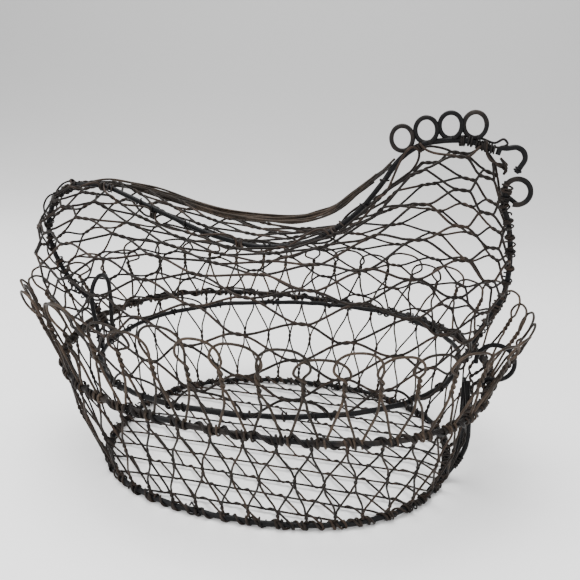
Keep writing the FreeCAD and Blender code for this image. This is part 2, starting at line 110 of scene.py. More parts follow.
def smooth(points, step=0.8, closed=False):
    """A smooth curve through the points, cut into short steps."""
    pts = np.asarray(points, float)
    n = len(pts)
    out = []
    for i in range(n if closed else n - 1):
        p1, p2 = pts[i], pts[(i + 1) % n]
        p0 = pts[(i - 1) % n] if closed or i > 0 else 2 * p1 - p2
        p3 = pts[(i + 2) % n] if closed or i + 2 < n else 2 * p2 - p1
        d0 = max(np.linalg.norm(p1 - p0), 1e-6)
        d1 = max(np.linalg.norm(p2 - p1), 1e-6)
        d2 = max(np.linalg.norm(p3 - p2), 1e-6)
        v1 = ((p1 - p0) / d0 * d1 + (p2 - p1) / d1 * d0) / (d0 + d1) * d1
        v2 = ((p2 - p1) / d1 * d2 + (p3 - p2) / d2 * d1) / (d1 + d2) * d1
        count = max(1, int(math.ceil(d1 / step)))
        for k in range(count):
            t = k / count
            t2, t3 = t * t, t * t * t
            out.append((2 * t3 - 3 * t2 + 1) * p1 + (t3 - 2 * t2 + t) * v1
                       + (3 * t2 - 2 * t3) * p2 + (t3 - t2) * v2)
    if not closed:
        out.append(pts[-1])
    return np.array(out)


class Wires:
    """Collects round wires into one mesh, with an age value on every wire."""

    def __init__(self, seed):
        self.verts, self.faces, self.age = [], [], []
        self.rng = random.Random(seed)

    def add(self, path, radius, closed=False, sides=8, taper=0.0):
        pts = [Vector(p) for p in path]
        if closed and (pts[0] - pts[-1]).length < 1e-4:
            pts.pop()
        n = len(pts)
        if n < 2:
            return
        age = self.rng.random()
        tangents = []
        for i in range(n):
            a = pts[i - 1] if (closed or i > 0) else pts[i]
            b = pts[(i + 1) % n] if (closed or i < n - 1) else pts[i]
            d = b - a
            if d.length < 1e-9:
                d = tangents[-1].copy() if tangents else Vector((1, 0, 0))
            tangents.append(d.normalized())
        helper = Vector((0, 0, 1)) if abs(tangents[0].z) < 0.9 else Vector((1, 0, 0))
        normal = tangents[0].cross(helper).normalized()
        normals = []
        for i in range(n):
            normal = normal - tangents[i] * normal.dot(tangents[i])
            normal = normal.normalized() if normal.length > 1e-6 else tangents[i].orthogonal().normalized()
            normals.append(normal)
        spin = 0.0
        if closed:
            last = normals[-1] - tangents[0] * normals[-1].dot(tangents[0])
            last.normalize()
            spin = math.atan2(tangents[0].dot(last.cross(normals[0])), last.dot(normals[0]))
        base = len(self.verts)
        wave = self.rng.random() * 6.28
        for i in range(n):
            side = tangents[i].cross(normals[i])
            turn = spin * i / n
            r = radius * (1 + 0.035 * math.sin(0.9 * i + wave) * math.sin(0.37 * i + 2 * wave))
            if taper and i > n - 4:
                r *= 1 - taper * (i - n + 4) / 3
            for k in range(sides):
                w = 2 * math.pi * k / sides + turn
                p = pts[i] + (normals[i] * math.cos(w) + side * math.sin(w)) * r
                self.verts.append((p.x * MM, p.y * MM, p.z * MM))
                self.age.append(age)
        rings = n if closed else n - 1
        for i in range(rings):
            a = base + i * sides
            b = base + ((i + 1) % n) * sides
            for k in range(sides):
                k2 = (k + 1) % sides
                self.faces.append((a + k, a + k2, b + k2, b + k))
        if not closed:
            self.faces.append(tuple(base + k for k in range(sides - 1, -1, -1)))
            self.faces.append(tuple(base + (n - 1) * sides + k for k in range(sides)))

    def piece(self, name, body, nodes, material):
        mesh = bpy.data.meshes.new(name)
        mesh.from_pydata(self.verts, [], self.faces)
        mesh.update()
        attribute = mesh.attributes.new("age", "FLOAT", "POINT")
        attribute.data.foreach_set("value", self.age)
        mesh.polygons.foreach_set("use_smooth", [True] * len(mesh.polygons))
        obj = bpy.data.objects.new(name, mesh)
        bpy.context.scene.collection.objects.link(obj)
        mesh.materials.append(material)
        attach(obj, body)
        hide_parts(*nodes)


def helix(center, axis, first, radius, turns, advance, phase=0.0, per_turn=12):
    """Points of a coil round an axis, starting from the first direction."""
    axis = unit(axis)
    first = unit(np.asarray(first, float) - axis * float(np.dot(first, axis)))
    second = np.cross(axis, first)
    count = max(2, int(abs(turns) * per_turn))
    out = []
    for k in range(count + 1):
        share = k / count
        w = phase + 2 * math.pi * turns * share
        out.append(np.asarray(center, float) + axis * advance * (share - 0.5)
                   + (first * math.cos(w) + second * math.sin(w)) * radius)
    return out


# ------------------------------------------------------------------- surfaces
def rim_z(x):
    return RIM_Z - RIM_DROP * x


def hen_z(x):
    return HEN_Z + HEN_RISE * x


def floor_z(x):
    return FLOOR_Z


def ring_point(oval, height, share):
    x, y = oval.at(share)
    return np.array([x, y, height(x)])


def ring_axis(oval, height, share):
    return unit(ring_point(oval, height, share + 0.002) - ring_point(oval, height, share - 0.002))


HEAD_WALL_UP = (0.0, 0.1, 0.25, 0.53, 0.75, 0.93, 1.0)
HEAD_WALL_OUT = (0.0, 2.4, 3.4, 0.7, -3.2, -6.5, 0.0)
TAIL_BULGE = 4.5


def wall_point(share, up):
    """A point on the nest wall, swollen at the tail and pulled in under the rim at the head."""
    low = ring_point(floor_oval, floor_z, share)
    high = ring_point(rim_oval, rim_z, share)
    nx, ny = rim_oval.outward(share)
    if nx < 0:
        out = TAIL_BULGE * nx ** 2 * math.sin(math.pi * min(max(up, 0.0), 1.0))
    else:
        out = nx ** 6 * float(np.interp(up, HEAD_WALL_UP, HEAD_WALL_OUT))
    return low + (high - low) * up + np.array([nx * out, ny * out, 0.0])


def frill_point(share, rise, out=0.0):
    """A point on the flared frill: rise 0 at the rim, 1 at the tips."""
    x, y = rim_oval.at(share)
    nx, ny = rim_oval.outward(share)
    end = abs(nx) ** 6
    end_reach, end_rise = FRILL["head" if nx > 0 else "tail"]
    side_reach, side_rise = FRILL["left" if ny > 0 else "right"]
    full_reach = end_reach * end + side_reach * (1 - end)
    full_rise = end_rise * end + side_rise * (1 - end)
    reach = full_reach * (1.2 * rise - 0.2 * rise * rise) + out
    height = rim_z(x) + full_rise * (1.12 * rise - 0.12 * rise * rise)
    return np.array([x + nx * reach, y + ny * reach, height])


def frames(point, a, b, step_a, step_b):
    """Point, direction along a, direction along b and outward normal of a surface."""
    here = point(a, b)
    along = unit(point(a + step_a, b) - point(a - step_a, b))
    up = point(a, b + step_b) - point(a, b - step_b)
    up = unit(up - along * float(np.dot(up, along)))
    return here, along, up, np.cross(along, up)


tail_z = np.array([p[1] for p in TAIL_LINE[:-1]], float)
tail_x = np.array([p[0] for p in TAIL_LINE[:-1]], float)
front_pairs = sorted([(z, x) for x, z in BREAST_LINE] + [(163, 110), (171, 108)])
front_z = np.array([p[0] for p in front_pairs], float)
front_x = np.array([p[1] for p in front_pairs], float)
back_x = np.array([p[0] for p in BACK_LINE], float)
back_z = np.array([p[1] for p in BACK_LINE], float)

SECTIONS, FINE = 161, 121
CROWN = 2.5


def broad(along):
    """1 in the low middle of the hen, 0 at the tail and the slim head."""
    return math.exp(-((along - 0.42) / 0.2) ** 2)


def section(along):
    """The right half section of the hen at one place along it, ring to back."""
    rx, ry = hen_oval.at((1 - along) * 0.5)
    share = (rx / HEN[0] + 1) / 2
    top_x = -116 + share * 222
    top_z = float(np.interp(top_x, back_x, back_z))
    ends = 3.0 if along < 0.42 else 1.25
    boxy = ends + (3.9 - ends) * broad(along)
    up = np.linspace(0, 1, FINE) * math.pi / 2
    cos_part = np.abs(np.cos(up)) ** (2 / boxy)
    sin_part = np.abs(np.sin(up)) ** (2 / boxy)
    cos_part[-1] = 0.0
    low = hen_z(rx)
    z = low + (top_z - low) * sin_part + CROWN * broad(along) * np.sin(math.pi * sin_part ** 6)
    rear = np.interp(z, tail_z, tail_x)
    front = np.interp(z, front_z, front_x)
    x = rear + (front - rear) * share
    return np.stack([x, abs(ry) * cos_part, z], axis=1)


hen_grid = []
for i in range(SECTIONS):
    pts = section(i / (SECTIONS - 1))
    steps = np.linalg.norm(np.diff(pts, axis=0), axis=1)
    length = np.concatenate([[0.0], np.cumsum(steps)])
    hen_grid.append((pts, length / max(length[-1], 1e-6)))


def hen_girth(along, girth, side):
    """A point on the hen by its share of the way from ring to back."""
    along = min(max(along, 0.0), 1.0)
    f = along * (SECTIONS - 1)
    i = min(int(f), SECTIONS - 2)
    part = f - i
    total = np.zeros(3)
    for k, w in ((i, 1 - part), (i + 1, part)):
        pts, length = hen_grid[k]
        total += w * np.array([np.interp(girth, length, pts[:, c]) for c in range(3)])
    total[1] *= side
    return total


def hen_point(along, up, side):
    """A point on the hen's netting, with the strands closer together near the back."""
    spread = 1.0 + 0.35 * broad(along)
    return hen_girth(along, 1 - (1 - min(max(up, 0.0), 1.0)) ** spread, side)


def line_point(line, share):
    """Place and direction at a share of the way along an outline."""
    pts = np.array(line, float)
    steps = np.linalg.norm(np.diff(pts, axis=0), axis=1)
    length = np.concatenate([[0.0], np.cumsum(steps)])
    goal = share * length[-1]
    x = float(np.interp(goal, length, pts[:, 0]))
    z = float(np.interp(goal, length, pts[:, 1]))
    i = min(int(np.searchsorted(length, goal, side="right")) - 1, len(steps) - 1)
    axis = unit([pts[i + 1, 0] - pts[i, 0], 0, pts[i + 1, 1] - pts[i, 1]])
    return np.array([x, 0.0, z]), axis


def side_of(index, row):
    """+1 or -1: the neighbour a wire is twisted with in this row."""
    return 1 if (index + row) % 2 == 0 else -1


def straight(a, b):
    """Points that keep a run straight between two twists."""
    a, b = np.asarray(a, float), np.asarray(b, float)
    return [a + (b - a) * t for t in (0.16, 0.5, 0.84)]


class Jitter:
    """Repeatable small shifts shared by the two wires of a twist."""

    def __init__(self, seed):
        self.seed = seed

    def get(self, *key):
        return random.Random(hash((self.seed,) + key) & 0xFFFFFFFF).uniform(-1, 1)


# ------------------------------------------------------------------ materials
def aged_iron(name, dark, brown, pale, brown_share, rough, scale=900.0):
    """Dark iron wire: patina, rust in patches and at some wires, worn pale streaks."""
    mat = bpy.data.materials.new(name)
    mat.use_nodes = True
    tree = mat.node_tree
    nodes, links = tree.nodes, tree.links
    nodes.clear()
    out = nodes.new("ShaderNodeOutputMaterial")
    shader = nodes.new("ShaderNodeBsdfPrincipled")
    links.new(shader.outputs["BSDF"], out.inputs["Surface"])
    coords = nodes.new("ShaderNodeTexCoord")
    age = nodes.new("ShaderNodeAttribute")
    age.attribute_name = "age"

    def noise(size, detail, roughness=0.6):
        node = nodes.new("ShaderNodeTexNoise")
        node.inputs["Scale"].default_value = size
        node.inputs["Detail"].default_value = detail
        node.inputs["Roughness"].default_value = roughness
        links.new(coords.outputs["Object"], node.inputs["Vector"])
        return node

    def ramp(source, low, high, reverse=False):
        node = nodes.new("ShaderNodeMapRange")
        node.inputs["From Min"].default_value = low
        node.inputs["From Max"].default_value = high
        node.inputs["To Min"].default_value = 1.0 if reverse else 0.0
        node.inputs["To Max"].default_value = 0.0 if reverse else 1.0
        links.new(source, node.inputs["Value"])
        return node

    def mix(factor, a, b):
        node = nodes.new("ShaderNodeMix")
        node.data_type = "RGBA"
        links.new(factor, node.inputs["Factor"])
        for socket, value in (("A", a), ("B", b)):
            target = [s for s in node.inputs if s.name == socket and s.type == "RGBA"][0]
            if isinstance(value, tuple):
                target.default_value = (*value, 1.0)
            else:
                links.new(value, target)
        return [s for s in node.outputs if s.type == "RGBA"][0]

    patches = noise(38.0, 6.0)
    grains = noise(scale, 4.0, 0.7)
    blotch = noise(170.0, 5.0, 0.65)
    # rust: broad patches, shifted by the age of each wire
    shift = nodes.new("ShaderNodeMath")
    shift.operation = "MULTIPLY_ADD"
    links.new(age.outputs["Fac"], shift.inputs[0])
    shift.inputs[1].default_value = 0.30
    links.new(patches.outputs["Fac"], shift.inputs[2])
    rust = ramp(shift.outputs[0], 0.78 - brown_share * 0.3, 0.98 - brown_share * 0.3)
    broken = nodes.new("ShaderNodeMath")
    broken.operation = "MULTIPLY"
    links.new(rust.outputs[0], broken.inputs[0])
    links.new(ramp(blotch.outputs["Fac"], 0.30, 0.62).outputs[0], broken.inputs[1])
    color = mix(broken.outputs[0], dark, brown)
    worn = ramp(blotch.outputs["Fac"], 0.60, 0.80)
    worn_soft = nodes.new("ShaderNodeMath")
    worn_soft.operation = "MULTIPLY"
    links.new(worn.outputs[0], worn_soft.inputs[0])
    worn_soft.inputs[1].default_value = 0.55
    color = mix(worn_soft.outputs[0], color, pale)
    speck = ramp(grains.outputs["Fac"], 0.42, 0.68)
    speck_soft = nodes.new("ShaderNodeMath")
    speck_soft.operation = "MULTIPLY"
    links.new(speck.outputs[0], speck_soft.inputs[0])
    speck_soft.inputs[1].default_value = 0.35
    color = mix(speck_soft.outputs[0], color, tuple(c * 0.55 for c in dark))
    links.new(color, shader.inputs["Base Color"])
    rough_node = nodes.new("ShaderNodeMapRange")
    rough_node.inputs["From Min"].default_value = 0.3
    rough_node.inputs["From Max"].default_value = 0.7
    rough_node.inputs["To Min"].default_value = rough - 0.10
    rough_node.inputs["To Max"].default_value = rough + 0.18
    links.new(blotch.outputs["Fac"], rough_node.inputs["Value"])
    links.new(rough_node.outputs[0], shader.inputs["Roughness"])
    metal = nodes.new("ShaderNodeMapRange")
    metal.inputs["To Min"].default_value = 0.55
    metal.inputs["To Max"].default_value = 0.08
    links.new(broken.outputs[0], metal.inputs["Value"])
    links.new(metal.outputs[0], shader.inputs["Metallic"])
    shader.inputs["Specular IOR Level"].default_value = 0.16
    bump = nodes.new("ShaderNodeBump")
    bump.inputs["Strength"].default_value = 0.5
    bump.inputs["Distance"].default_value = 0.00018
    links.new(grains.outputs["Fac"], bump.inputs["Height"])
    pits = nodes.new("ShaderNodeBump")
    pits.inputs["Strength"].default_value = 0.45
    pits.inputs["Distance"].default_value = 0.0003
    links.new(blotch.outputs["Fac"], pits.inputs["Height"])
    links.new(bump.outputs["Normal"], pits.inputs["Normal"])
    links.new(pits.outputs["Normal"], shader.inputs["Normal"])
    return mat


frame_mat = aged_iron("aged_frame_wire", (0.0085, 0.0085, 0.009), (0.026, 0.019, 0.015),
                      (0.040, 0.038, 0.037), 0.25, 0.42)
net_mat = aged_iron("aged_netting_wire", (0.015, 0.0125, 0.011), (0.042, 0.027, 0.019),
                    (0.075, 0.066, 0.057), 0.6, 0.50)
frill_mat = aged_iron("browned_frill_wire", (0.022, 0.018, 0.015), (0.062, 0.043, 0.030),
                      (0.125, 0.106, 0.088), 0.85, 0.54)
bind_mat = aged_iron("aged_binding_wire", (0.013, 0.0115, 0.011), (0.038, 0.027, 0.021),
                     (0.070, 0.064, 0.058), 0.5, 0.48)

# ----------------------------------------------------------------- nest rings
waver = Jitter(11)


def ring_path(oval, height, shake, seed, count=90):
    """A ring bent by hand: its oval with small shifts along it."""
    out = []
    for i in range(count):
        p = ring_point(oval, height, i / count)
        nx, ny = oval.outward(i / count)
        a = shake * waver.get(seed, i)
        out.append(p + np.array([nx * a, ny * a, 0.5 * shake * waver.get(seed + 1, i)]))
    return smooth(out, 1.6, closed=True)


w = Wires(1)
w.add(ring_path(floor_oval, floor_z, 0.35, 20), FRAME_R, closed=True, sides=14)
w.piece("floor_ring_wire", "nest", ["floor_ring"], frame_mat)

w = Wires(2)
w.add(ring_path(rim_oval, rim_z, 0.4, 30), FRAME_R, closed=True, sides=14)
w.piece("rim_ring_wire", "nest", ["rim_ring"], frame_mat)

# --------------------------------------------------------------- nest netting
WALL_LENGTH = 52.8
FLOOR_END_SHIFT, RIM_END_SHIFT = 0.0016, 0.0013
wall_jitter = Jitter(101)
# The two top twists beside the front ring stand aside to let it swing.
FRONT_ASIDE = {0: 0.0032, 2 * CELLS - 1: -0.0032}


def wall_center(row, key):
    """Middle of the twist between two neighbouring wires of the wall."""
    key = key % (2 * CELLS)
    loose = 1.0 if row == 1 else 0.45
    share = (key + 0.5) / (2 * CELLS) + wall_jitter.get(row, key, 1) * 0.07 / CELLS * loose
    up = WALL_ROWS[row] + wall_jitter.get(row, key, 2) * 0.022 * loose
    if row == 2:
        share += FRONT_ASIDE.get(key, 0.0)
    return share, up


def wall_strand(index):
    """One netting wire of the wall, from a turn round the floor ring to one round the rim."""
    points = []
    for row in range(3):
        side = side_of(index, row)
        key = index if side > 0 else index - 1
        share, up = wall_center(row, key)
        here, along, upward, normal = frames(wall_point, share, up, 0.002, 0.02)
        phase = math.pi if side > 0 else 0.0
        if row == 0:
            ring = ring_point(floor_oval, floor_z, share - FLOOR_END_SHIFT * side)
            axis = ring_axis(floor_oval, floor_z, share)
            points += helix(ring, axis * (-side), normal, FRAME_R + NET_R, 0.75, 2.6, -1.2, 12)
        points += helix(here, upward, along, NET_R * 0.85, 1.0, WALL_TWIST, phase, 8)
        if row < 2:
            nxt_side = side_of(index, row + 1)
            nxt_key = index if nxt_side > 0 else index - 1
            s2, u2 = wall_center(row + 1, nxt_key)
            half = WALL_TWIST / 2 / WALL_LENGTH
            points += straight(wall_point(share, up + half), wall_point(s2, u2 - half))
        else:
            ring = ring_point(rim_oval, rim_z, share - RIM_END_SHIFT * side)
            axis = ring_axis(rim_oval, rim_z, share)
            points += helix(ring, axis * (-side), -normal, FRAME_R + NET_R, 0.7, 3.0, 0.4, 12)
    return points


w = Wires(3)
for index in range(2 * CELLS):
    w.add(smooth(wall_strand(index), 0.75), NET_R)
w.piece("wall_net", "nest", ["wall_netting"], net_mat)

# ---------------------------------------------------------------------- floor
LINE_PITCH = 13.4
LINES = 5
floor_jitter = Jitter(202)


def floor_reach(y, inset):
    a, b, n = FLOOR[0] - inset, FLOOR[1] - inset, FLOOR[2]
    return a * max(1 - (abs(y) / b) ** n, 0.0) ** (1 / n)


def ring_hit(x, y, dx, dy):
    """Where a run across the floor, stepped from inside, meets the floor ring."""
    for _ in range(60):
        if abs(x) >= floor_reach(y, 0.3) or abs(y) > FLOOR[1] - 1:
            break
        x, y = x + dx, y + dy
    return np.array([x, y, FLOOR_Z + 0.6])


def floor_line_y(line, x):
    return line * LINE_PITCH + 0.9 * floor_jitter.get(line) + 0.5 * math.sin(x / 31.0 + line)


w = Wires(4)
for line in range(-LINES, LINES + 1):
    y = line * LINE_PITCH
    reach = floor_reach(y, 0.0)
    xs = np.linspace(-reach, reach, 14)
    pts = [np.array([x, floor_line_y(line, x), FLOOR_Z - 0.45 + 0.25 * floor_jitter.get(line, k)])
           for k, x in enumerate(xs)]
    for end, sign in ((0, -1), (-1, 1)):
        axis = np.array([0.25 * sign, -1.0, 0.0])
        wrap = helix(pts[end], axis, [0, 0, -1], FRAME_R + NET_R, 0.8, 2.4, 0.0, 12)
        if end == 0:
            pts = list(reversed(wrap)) + pts[1:]
        else:
            pts = pts[:-1] + wrap
    w.add(smooth(pts, 0.9), NET_R)
w.piece("floor_lines", "nest", ["floor_line_wires"], net_mat)

w = Wires(5)
STEP, STAIR_PITCH = 17.3, 18.0
for number in range(-9, 10):
    runs = []
    for line in range(-LINES, LINES + 1):
        x = number * STAIR_PITCH - line * STEP + 1.0 * floor_jitter.get(number, line)
        y = floor_line_y(line, x)
        inside = abs(x) + 3 < floor_reach(y, 3.0)
        runs.append((line, x, y, inside))
    inner = [r for r in runs if r[3]]
    if not inner:
        continue
    first, last = inner[0], inner[-1]
    slope = unit([STEP, -LINE_PITCH])
    start = ring_hit(first[1] + 2.5, first[2], slope[0], slope[1])
    pts = list(reversed(helix(start + np.array([0, 0, -0.6]), [-slope[1], slope[0], 0], [0, 0, 1],
                              FRAME_R + NET_R, 0.8, 2.4, 0.0, 12)))
    for k, (_, x, y, _) in enumerate(inner):
        pts += helix([x, y, FLOOR_Z - 0.2], [-1, 0, 0], [0, 0, 1], NET_R * 0.8, 1.0, 4.8, 0.0, 8)
        if k < len(inner) - 1:
            x2, y2 = inner[k + 1][1:3]
            pts += straight([x - 2.2, y, FLOOR_Z + 0.3], [x2 + 2.2, y2, FLOOR_Z + 0.3])
    stop = ring_hit(last[1] - 2.5, last[2], -slope[0], -slope[1])
    pts += helix(stop + np.array([0, 0, -0.6]), [-slope[1], slope[0], 0], [0, 0, 1],
                 FRAME_R + NET_R, 0.8, 2.4, 0.0, 12)
    w.add(smooth(pts, 0.8), NET_R)
w.piece("floor_stairs", "nest", ["floor_stair_wires"], net_mat)


# ------------------------------------------------------------- ring lashings
def lash_ring(wires, oval, height, count, turns, advance, seed, core, radius, loose=0.25, skip=0.0):
    """Short coils of binding wire at stations round a ring."""
    jitter = Jitter(seed)
    for i in range(count):
        if (jitter.get(i, 7) + 1) / 2 < skip:
            continue
        share = (i + 0.5 + loose * jitter.get(i, 1)) / count
        center = ring_point(oval, height, share)
        axis = ring_axis(oval, height, share)
        turn = turns * (1 + 0.3 * jitter.get(i, 2))
        spread = advance * (1 + 0.35 * jitter.get(i, 3))
        phase = 3.14 * jitter.get(i, 4)
        around = core + radius * (1.02 + 0.25 * abs(jitter.get(i, 5)))
        coil = helix(center, axis, [0, 0, 1], around, turn, spread, phase, 14)
        wires.add(smooth(coil, 0.6), radius, taper=0.2)


def laid_wire(wires, oval, height, turns, radius, core, per_turn=20, clear=0):
    """A second wire laid loosely round a ring, stopping short of the front by some steps."""
    spiral = []
    for i in range(turns * per_turn):
        share = i / (turns * per_turn)
        center = ring_point(oval, height, share)
        axis = ring_axis(oval, height, share)
        up = unit(np.array([0, 0, 1.0]) - axis * axis[2])
        side = np.cross(axis, up)
        around = 2 * math.pi * share
        turn = 2 * math.pi * i / per_turn + 0.9 * math.sin(7 * around) + 0.6 * math.sin(17 * around + 1)
        r = core + radius * (1.0 + 0.15 * math.sin(23 * around))
        spiral.append(center + (up * math.cos(turn) + side * math.sin(turn)) * r)
    wires.add(spiral[clear:len(spiral) - clear], radius, closed=clear == 0, sides=12)


w = Wires(6)
laid_wire(w, floor_oval, floor_z, 62, 0.55, FRAME_R)
lash_ring(w, floor_oval, floor_z, 42, 1.3, 4.0, 301, FRAME_R + 0.4, BIND_R, skip=0.35)
w.piece("floor_ring_binding", "nest", ["floor_ring_lashing"], bind_mat)

w = Wires(7)
laid_wire(w, rim_oval, rim_z, 50, 0.80, FRAME_R * 0.92, clear=6)
lash_ring(w, rim_oval, rim_z, 42, 1.1, 2.6, 311, FRAME_R + 0.7, BIND_R, skip=0.7)
w.piece("rim_binding", "nest", ["rim_lashing"], bind_mat)

# ---------------------------------------------------------------------- frill
frill_jitter = Jitter(404)


def stem_center(i, rise):
    i = i % CELLS
    lean = -0.10 - 0.16 * frill_jitter.get(i, 1)
    return (i + lean * rise) / CELLS


# the twist under each hoop, by rise, and where its wires leave the rim, in cells
STEM_LOW, STEM_HIGH, STEM_HALF_TURNS = 0.46, 0.66, 3.0
FOOT, FRONT_FOOT = 0.40, 0.30
FRILL_R = NET_R * 1.15


def stem_foot(i, from_left):
    """Where a hoop's wire leaves the rim, in cells: clear of the front ring beside it."""
    if i % CELLS == 0:
        return i + (-FRONT_FOOT if from_left else FRONT_FOOT)
    return i + (FOOT if from_left else -FOOT)


def stem(i, from_left):
    """One wire of a hoop: from the rim up into the twist it shares with its neighbour."""
    foot = stem_foot(i, from_left)
    aside = foot - i if i % CELLS == 0 else 0.0
    middle = i + aside
    out = [frill_point(foot / CELLS, 0.03), frill_point((foot * 0.78 + middle * 0.22) / CELLS, 0.12),
           frill_point((foot * 0.25 + middle * 0.75) / CELLS, 0.36)]
    rises = np.linspace(STEM_LOW, STEM_HIGH, 13)
    for k, rise in enumerate(rises):
        share = stem_center(i, rise) + aside / CELLS
        here, along, up, normal = frames(frill_point, share, rise, 0.002, 0.02)
        turn = (0.0 if from_left else math.pi) + math.pi * STEM_HALF_TURNS * k / (len(rises) - 1)
        out.append(here + (along * math.cos(turn) + normal * math.sin(turn)) * FRILL_R)
    return out


def frill_hoop(i):
    """A hoop from stem i to stem i + 1, wider than its cell at the top."""
    jit = frill_jitter
    lean = -0.12 + 0.16 * jit.get(i, 2)
    wide = 0.69 + 0.08 * jit.get(i, 3)
    tall = 1.0 + 0.09 * jit.get(i, 4)
    out = 2.2 * jit.get(i, 5)
    layer = 0.9 if i % 2 else -0.9
    middle = i + 0.5 + lean
    left = stem(i, False)
    right = stem(i + 1, True)
    top = []
    for across, rise in ((-0.93, 0.80), (-0.82, 0.90), (-0.5, 0.975), (0.0, 1.0),
                         (0.5, 0.975), (0.82, 0.90), (0.93, 0.80)):
        share = (middle + wide * across) / CELLS
        top.append(frill_point(share, rise * tall, out * rise + layer))
    return left + top + list(reversed(right))


for name, node, parity, seed in (("frill_even", "frill_outer_hoops", 0, 8),
                                 ("frill_odd", "frill_inner_hoops", 1, 9)):
    w = Wires(seed)
    for i in range(parity, CELLS, 2):
        w.add(smooth(frill_hoop(i), 0.8), FRILL_R)
        for foot in (i, i + 1):
            share = stem_foot(foot, foot != i) / CELLS
            center = ring_point(rim_oval, rim_z, share)
            axis = ring_axis(rim_oval, rim_z, share)
            turns = helix(center, axis, [0, 0, 1], FRAME_R + NET_R * 1.6, 0.8, 2.0, 0.3, 12)
            w.add(smooth(turns, 0.6), NET_R * 1.05)
    w.piece(name, "nest", [node], frill_mat)

# ------------------------------------------------------------------- lid ring
w = Wires(10)
w.add(ring_path(hen_oval, hen_z, 0.5, 40), FRAME_R, closed=True, sides=14)
w.piece("lid_ring_wire", "lid", ["lid_ring"], frame_mat)


def middle_wire(line, seed, shake=0.25):
    """An outline wire of the hen with small sideways shifts."""
    jitter = Jitter(seed)
    return smooth([np.array([x, shake * jitter.get(k), z]) for k, (x, z) in enumerate(line)], 1.4)


w = Wires(12)
w.add(middle_wire(TAIL_LINE, 51), FRAME_R, sides=14)
w.piece("tail_outline", "lid", ["tail_wire"], frame_mat)
w = Wires(13)
w.add(middle_wire(BACK_LINE, 52), FRAME_R, sides=14)
w.piece("back_outline", "lid", ["back_wire"], frame_mat)
w = Wires(14)
w.add(middle_wire(BREAST_LINE, 53), FRAME_R, sides=14)
w.piece("breast_outline", "lid", ["breast_wire"], frame_mat)

# ---------------------------------------------------------------- hen netting
hen_jitter = Jitter(505)
# heights between which a wire can end on the tail or breast wire
TAIL_TOP, BREAST_TOP, BREAST_FOOT = 139.0, 150, 64.0


def hen_center(half, key, side):
    """Middle of a twist in the hen netting; key -1 is the ring, the last is the back."""
    along = (half + 0.5) / HEN_HALVES
    along += hen_jitter.get(half, key, side, 1) * 0.07 / HEN_HALVES
    up = (key + 1) / HEN_STRANDS
    if 0 <= key < HEN_STRANDS - 1:
        up += hen_jitter.get(half, key, side, 2) * 0.08 / HEN_STRANDS
    return along, up


def end_wrap(line, height, side, turns, wires_r, from_front):
    """A wire end wound round the tail or breast wire at a height."""
    # the height along the line picks the place and the direction of the wire
    upwards = sorted(line, key=lambda p: p[1])
    xs, zs = [p[0] for p in upwards], [p[1] for p in upwards]
    x = float(np.interp(height, zs, xs))
    low = float(np.interp(height - 2, zs, xs))
    axis = unit([x - low, 0.0, 2.0])
    center = np.array([x, 0.0, height])
    return helix(center, axis * side * (1 if from_front else -1), [0, side, 0], FRAME_R + wires_r,
                 turns, turns, 0.2, 12)


def hen_strand(number, side):
    """One lengthwise netting wire of the hen, from the tail wire to the breast wire."""

    def surface(along, up):
        return hen_point(along, up, side)

    start_up = (number + 0.5) / HEN_STRANDS
    tail_end = hen_point(0.0, start_up, side)
    points = list(reversed(end_wrap(TAIL_LINE[:-1], min(tail_end[2], TAIL_TOP), side, 1.1, NET_R, False)))
    for half in range(HEN_HALVES):
        pair = side_of(number, half)
        key = number if pair > 0 else number - 1
        along, up = hen_center(half, key, side)
        if key < 0:
            share = (1 - along) * 0.5 * (1 if side > 0 else -1)
            ring = ring_point(hen_oval, hen_z, share)
            _, lengthwise, upward, _ = frames(surface, along, 0.02, 0.004, 0.02)
            points += helix(ring, lengthwise, upward, FRAME_R + NET_R, 1.0, 4.0, 0.6, 12)
            continue
        if key >= HEN_STRANDS - 1:
            top = hen_point(along, 1.0, side)
            _, lengthwise, upward, _ = frames(surface, along, 0.97, 0.004, 0.02)
            points += helix(top, lengthwise, -upward, FRAME_R + NET_R, 1.0, 2.6, -0.5, 12)
            continue
        here, lengthwise, upward, normal = frames(surface, along, up, 0.004, 0.012)
        phase = math.pi if pair > 0 else 0.0
        points += helix(here, lengthwise, upward, HEN_NET_R * 0.7, 1.0, HEN_TWIST, phase, 8)
        if half < HEN_HALVES - 1:
            pair2 = side_of(number, half + 1)
            key2 = number if pair2 > 0 else number - 1
            a2, u2 = hen_center(half + 1, key2, side)
            if 0 <= key2 < HEN_STRANDS - 1:
                after = frames(surface, a2, u2, 0.004, 0.012)
                points += straight(here + lengthwise * HEN_TWIST / 2, after[0] - after[1] * HEN_TWIST / 2)
    breast_end = hen_point(1.0, start_up, side)
    if breast_end[2] < BREAST_TOP:
        points += end_wrap(BREAST_LINE, max(breast_end[2], BREAST_FOOT), side, 1.1, NET_R, True)
    else:
        points.append(hen_point(0.995, start_up, side))
    return points


for name, node, side in (("hen_net_left", "netting_left_side", 1),
                         ("hen_net_right", "netting_right_side", -1)):
    w = Wires(15 + side)
    for number in range(HEN_STRANDS):
        w.add(smooth(hen_strand(number, side), 0.8), HEN_NET_R)
    w.piece(name, "lid", [node], net_mat)


